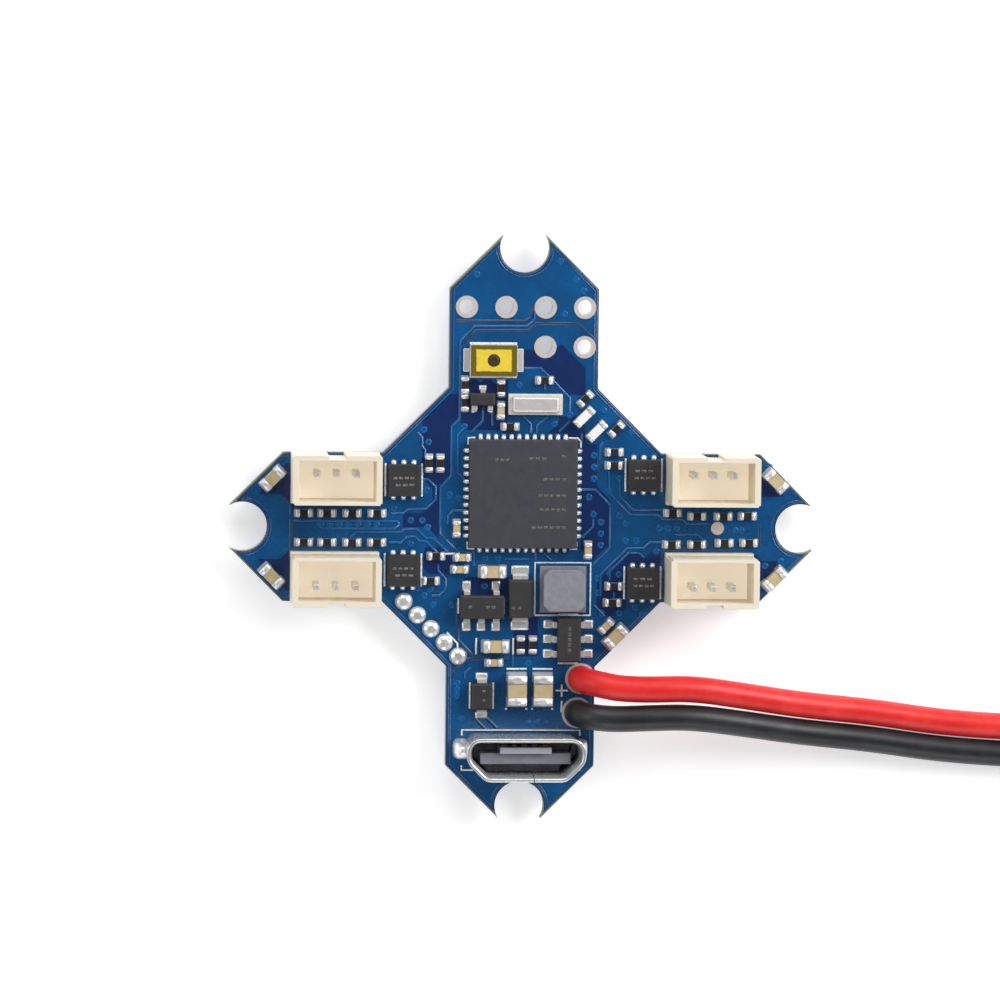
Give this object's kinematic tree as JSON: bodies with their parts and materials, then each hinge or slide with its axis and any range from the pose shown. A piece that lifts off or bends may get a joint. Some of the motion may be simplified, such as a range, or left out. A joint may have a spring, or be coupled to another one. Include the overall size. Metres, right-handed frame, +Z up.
{
  "type": "flight controller board",
  "caption": "Cross-shaped flight controller board with notched arms, upright motor and USB sockets, chips on both faces, a boot switch, and battery leads ending in a plug.",
  "frame": {"origin": "centre of the notch pattern, on the surface that the underside parts rest on", "axes": "+Z up out of the face with the sockets; +Y towards the arm with the plated holes; -Y towards the USB socket; +X towards the battery leads"},
  "size_m": [0.0908, 0.0376, 0.007],
  "materials": {
    "board": "gloss blue solder mask over glass epoxy",
    "plating": "plated copper, satin",
    "solder": "bright solder",
    "socket_nylon": "ivory nylon, satin",
    "pin_metal": "tinned pins",
    "shell_steel": "drawn steel shell, bright",
    "moulding": "dark moulding",
    "contact_gold": "plated contacts",
    "processor_case": "dark grey epoxy",
    "chip_case": "black epoxy",
    "ferrite": "grey ferrite",
    "ceramic_tan": "fired tan ceramic",
    "ceramic_white": "white ceramic",
    "lid_metal": "plated lid, satin",
    "film": "clear amber film",
    "switch_metal": "plated frame",
    "stem": "black stem",
    "resistor_film": "black glaze",
    "light_case": "white resin",
    "red_silicone": "soft silicone, satin",
    "black_silicone": "soft silicone, satin",
    "plug_nylon": "white nylon"
  },
  "bodies": {
    "board": {"circuit_board": "board", "plated_rings": "plating", "lead_rings": "plating", "filled_joints": "solder", "socket_pin_joints": "solder", "lead_joints": "solder", "test_pad": "plating", "motor_socket_left_front": "socket_nylon", "motor_socket_right_front": "socket_nylon", "motor_socket_right_rear": "socket_nylon", "motor_socket_left_rear": "socket_nylon", "motor_socket_pins": "pin_metal", "usb_shell": "shell_steel", "usb_moulding": "moulding", "usb_contacts": "contact_gold", "usb_solder": "solder", "processor": "processor_case", "processor_lands": "solder", "driver_chips": "chip_case", "driver_lands": "solder", "regulator": "chip_case", "regulator_leads": "pin_metal", "converter": "chip_case", "converter_leads": "pin_metal", "power_diode": "chip_case", "power_diode_leads": "pin_metal", "small_diode": "chip_case", "small_diode_leads": "pin_metal", "transistor": "chip_case", "transistor_leads": "pin_metal", "resonator_base": "ceramic_white", "resonator_lid": "lid_metal", "inductor_foot": "moulding", "inductor_core": "ferrite", "switch_frame": "switch_metal", "switch_terminals": "pin_metal", "switch_dome": "shell_steel", "switch_film": "film", "large_capacitors": "ceramic_tan", "large_capacitor_ends": "solder", "medium_capacitors": "ceramic_tan", "medium_capacitor_ends": "solder", "small_capacitors": "ceramic_tan", "small_capacitor_ends": "solder", "resistors": "resistor_film", "resistor_ends": "solder", "indicator_lights": "light_case", "indicator_light_ends": "solder", "power_transistors": "chip_case", "power_transistor_lands": "solder", "motor_controllers": "chip_case", "motion_sensor": "chip_case", "underside_chip_lands": "solder", "underside_capacitors": "ceramic_tan", "underside_capacitor_ends": "solder", "red_lead": "red_silicone", "black_lead": "black_silicone", "lead_plug": "plug_nylon", "lead_plug_contacts": "contact_gold"},
    "switch_stem": {"switch_stem": "stem"}
  },
  "joints": [
    {"name": "boot_switch_press", "type": "slide", "parent": "board", "child": "switch_stem", "axis": [0, 0, -1], "range_m": [0, 0.0002], "stiffness_N_per_m": 4000}
  ]
}
